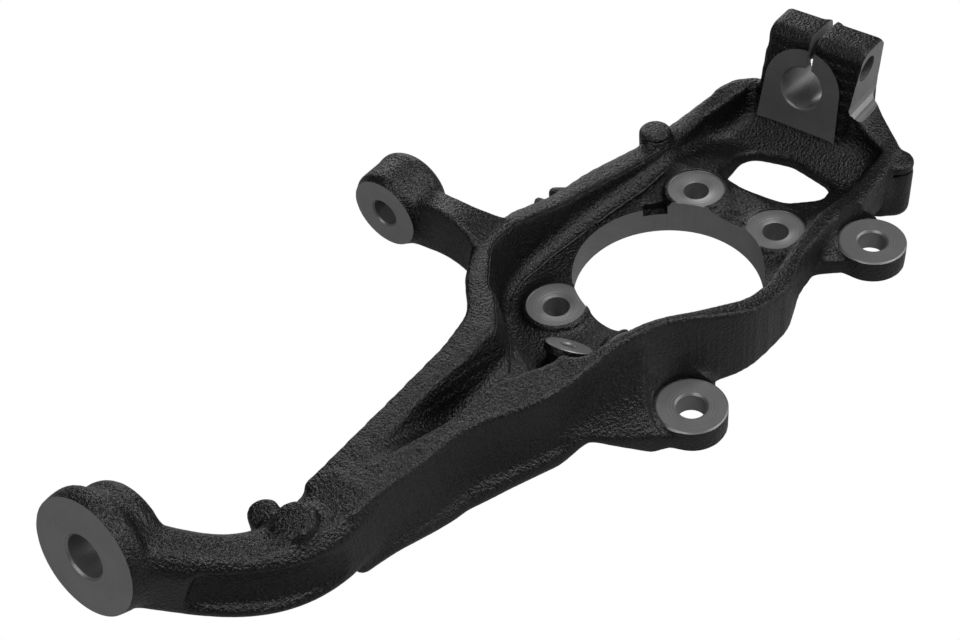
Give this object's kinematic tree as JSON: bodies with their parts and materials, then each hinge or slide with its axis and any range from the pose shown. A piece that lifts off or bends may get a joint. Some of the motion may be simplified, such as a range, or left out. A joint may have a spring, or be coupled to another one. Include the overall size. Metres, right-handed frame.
{
  "type": "steering knuckle",
  "caption": "Cast iron steering knuckle with a long ribbed neck, round hub opening, steering arm, caliper ears and a split clamp for the lower ball joint.",
  "frame": {"origin": "centre of the hub bore on the outboard hub face", "axes": "+Z along the hub bore, inboard; +X towards the lower ball joint clamp, away from the neck"},
  "size_m": [0.4568, 0.212, 0.124],
  "materials": {
    "casting": "black coated casting with bare machined seats"
  },
  "bodies": {
    "root": {"steering_knuckle": "casting"}
  },
  "joints": []
}
